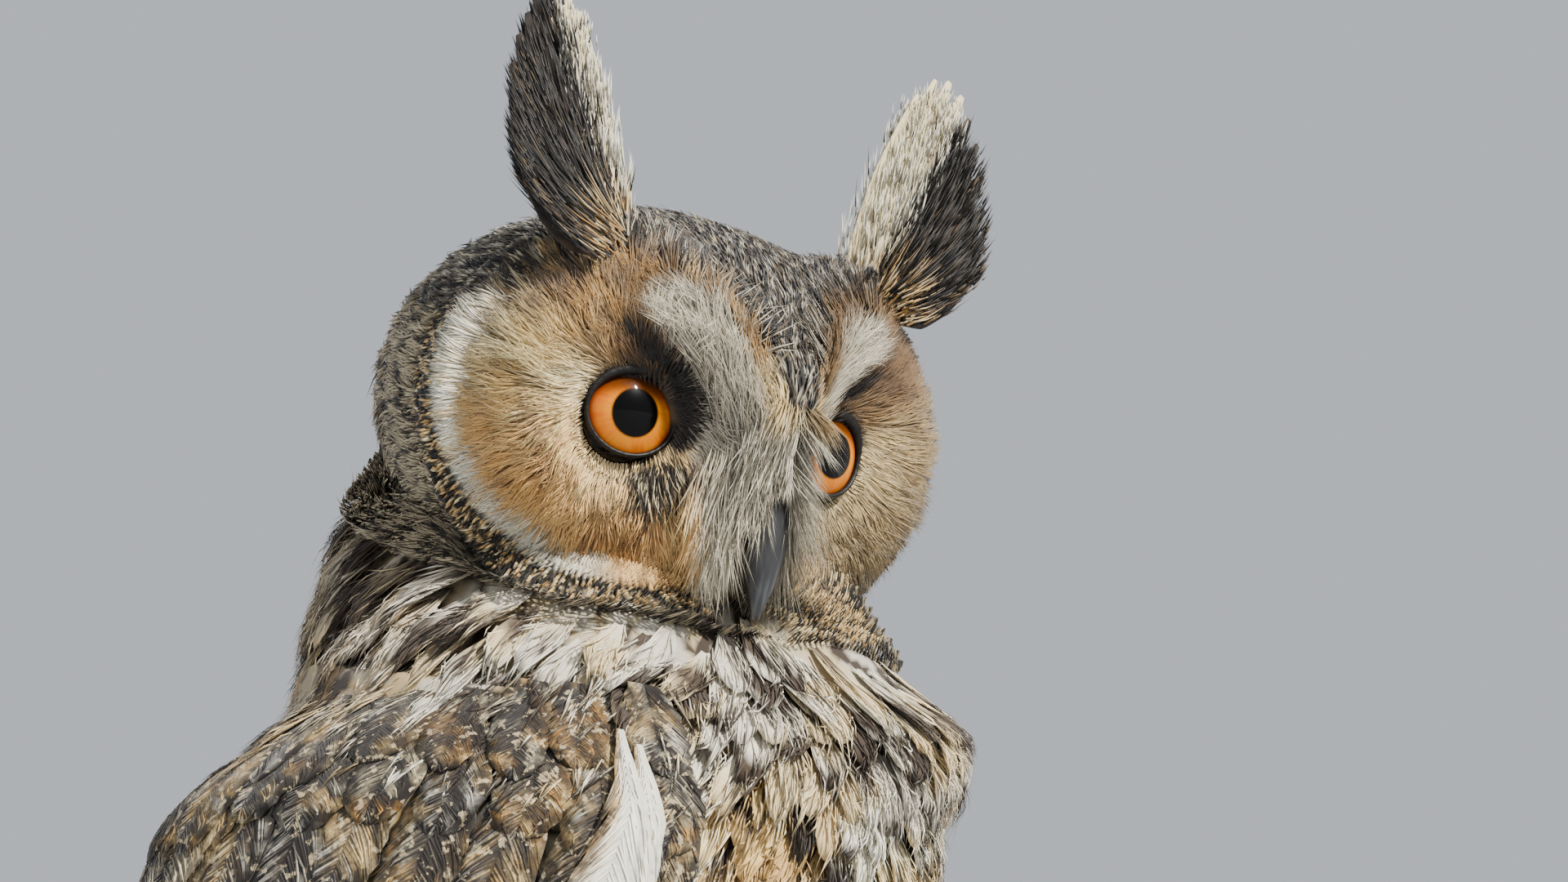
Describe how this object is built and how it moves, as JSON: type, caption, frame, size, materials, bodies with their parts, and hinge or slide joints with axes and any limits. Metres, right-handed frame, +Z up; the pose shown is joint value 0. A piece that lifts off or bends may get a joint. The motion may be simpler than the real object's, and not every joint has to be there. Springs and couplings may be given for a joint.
{
  "type": "long-eared owl",
  "caption": "Life-size long-eared owl with folded wings and raised ear tufts, perched on a short cut branch held over a round display base by rods.",
  "frame": {"origin": "centre of the round base's underside", "axes": "+Z up, the bird's breast faces -Y, its left side is +X"},
  "size_m": [0.2, 0.2, 0.3974],
  "materials": {
    "feathers": "matte, soft",
    "flight_feathers": "matte",
    "tuft_feathers": "matte",
    "leg_feathers": "matte, soft",
    "horn": "satin",
    "eye": "wet gloss",
    "bark": "rough bark",
    "stand_wood": "satin varnish",
    "stand_steel": "satin"
  },
  "bodies": {
    "root": {"head": "feathers", "neck": "feathers", "torso": "feathers", "wing_left": "flight_feathers", "wing_right": "flight_feathers", "tail": "flight_feathers", "tuft_left": "tuft_feathers", "tuft_right": "tuft_feathers", "leg_left": "leg_feathers", "leg_right": "leg_feathers", "foot_left": "leg_feathers", "foot_right": "leg_feathers", "bill_upper": "horn", "bill_lower": "horn", "claw_left_inner": "horn", "claw_left_middle": "horn", "claw_left_outer": "horn", "claw_left_hind": "horn", "claw_right_inner": "horn", "claw_right_middle": "horn", "claw_right_outer": "horn", "claw_right_hind": "horn", "eye_left": "eye", "eye_right": "eye", "perch": "bark", "stand_base": "stand_wood", "stand_rod_left": "stand_steel", "stand_rod_right": "stand_steel"}
  },
  "joints": []
}
